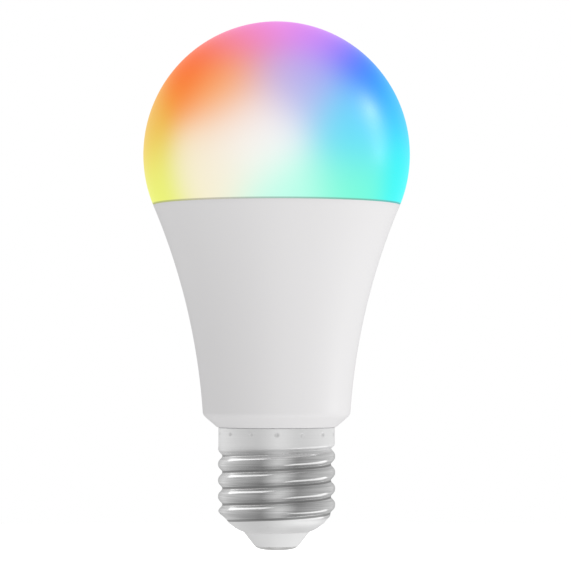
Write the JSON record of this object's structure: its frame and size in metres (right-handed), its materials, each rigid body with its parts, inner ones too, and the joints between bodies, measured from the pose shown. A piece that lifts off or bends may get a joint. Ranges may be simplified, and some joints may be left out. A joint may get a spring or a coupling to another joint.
{
  "type": "smart light bulb",
  "caption": "Smart LED lamp with an opal globe on a flared white housing and a 27 mm screw cap; gives white or coloured light under radio control.",
  "frame": {"origin": "tip of the centre contact, on the lamp's axis", "axes": "+Z along the lamp's axis from the cap to the globe; +X and +Y across it, +Y being the side of the driver board that the drum inductor is on"},
  "size_m": [0.06, 0.06, 0.1187],
  "materials": {
    "opal_diffuser": "opal, lightly glossy polycarbonate",
    "housing_white": "smooth white plastic, satin gloss",
    "adhesive": "cured silicone",
    "liner_aluminium": "stamped, dull",
    "cap_metal": "nickel-plated, satin",
    "insulator_grey": "moulded, light grey",
    "contact_metal": "nickel-plated brass, satin",
    "thermal_paste": "soft white compound",
    "white_solder_mask": "white solder mask on a metal-core board",
    "screw_steel": "zinc-plated",
    "led_frame_white": "white moulded frame",
    "phosphor_warm": "amber phosphor in silicone",
    "phosphor_cool": "yellow phosphor in silicone",
    "led_die": "polished semiconductor",
    "clear_silicone": "clear silicone",
    "tinned_metal": "tin-plated",
    "green_board": "green solder mask on glass laminate",
    "can_aluminium": "drawn can",
    "black_sleeve": "shrunk sleeve",
    "ferrite": "dark grey ceramic",
    "black_plastic": "moulded, matt",
    "winding_tape": "yellow polyester tape",
    "copper_wire": "lacquered copper",
    "resistor_green": "cement coating",
    "chip_black": "moulded, matt",
    "chip_resistor": "glazed",
    "chip_capacitor": "tan ceramic",
    "solder": "solder",
    "radio_board_blue": "blue solder mask on glass laminate",
    "crystal_can": "nickel-plated",
    "antenna_copper": "gold-plated copper",
    "wire_red": "insulated lead",
    "wire_black": "insulated lead"
  },
  "bodies": {
    "root": {"diffuser_globe": "opal_diffuser", "globe_adhesive": "adhesive", "housing_shell": "housing_white", "heatsink_cup": "liner_aluminium", "screw_cap": "cap_metal", "base_insulator": "insulator_grey", "centre_contact": "contact_metal", "thermal_paste": "thermal_paste", "led_board": "white_solder_mask", "led_board_screws": "screw_steel", "warm_led_frames": "led_frame_white", "warm_led_phosphor": "phosphor_warm", "cool_led_frames": "led_frame_white", "cool_led_phosphor": "phosphor_cool", "colour_led_frames": "led_frame_white", "colour_led_dies": "led_die", "colour_led_filling": "clear_silicone", "led_terminals": "tinned_metal", "driver_board": "green_board", "input_capacitor": "can_aluminium", "input_capacitor_sleeve": "black_sleeve", "output_capacitor": "can_aluminium", "output_capacitor_sleeve": "black_sleeve", "transformer_core": "ferrite", "transformer_bobbin": "black_plastic", "transformer_winding": "winding_tape", "transformer_pins": "tinned_metal", "inductor_core": "ferrite", "inductor_winding": "copper_wire", "inductor_leads": "copper_wire", "fuse_resistor": "resistor_green", "bridge_rectifier": "chip_black", "power_controller": "chip_black", "led_controller": "chip_black", "output_diode": "chip_black", "chip_leads": "tinned_metal", "chip_resistors": "chip_resistor", "chip_capacitors": "chip_capacitor", "solder_joints": "solder", "board_header": "black_plastic", "board_header_pins": "tinned_metal", "module_spacer": "black_plastic", "module_pins": "tinned_metal", "radio_board": "radio_board_blue", "radio_chip": "chip_black", "radio_crystal": "crystal_can", "radio_antenna": "antenna_copper", "live_lead": "wire_red", "neutral_lead": "wire_black", "lead_ends": "tinned_metal"}
  },
  "joints": []
}
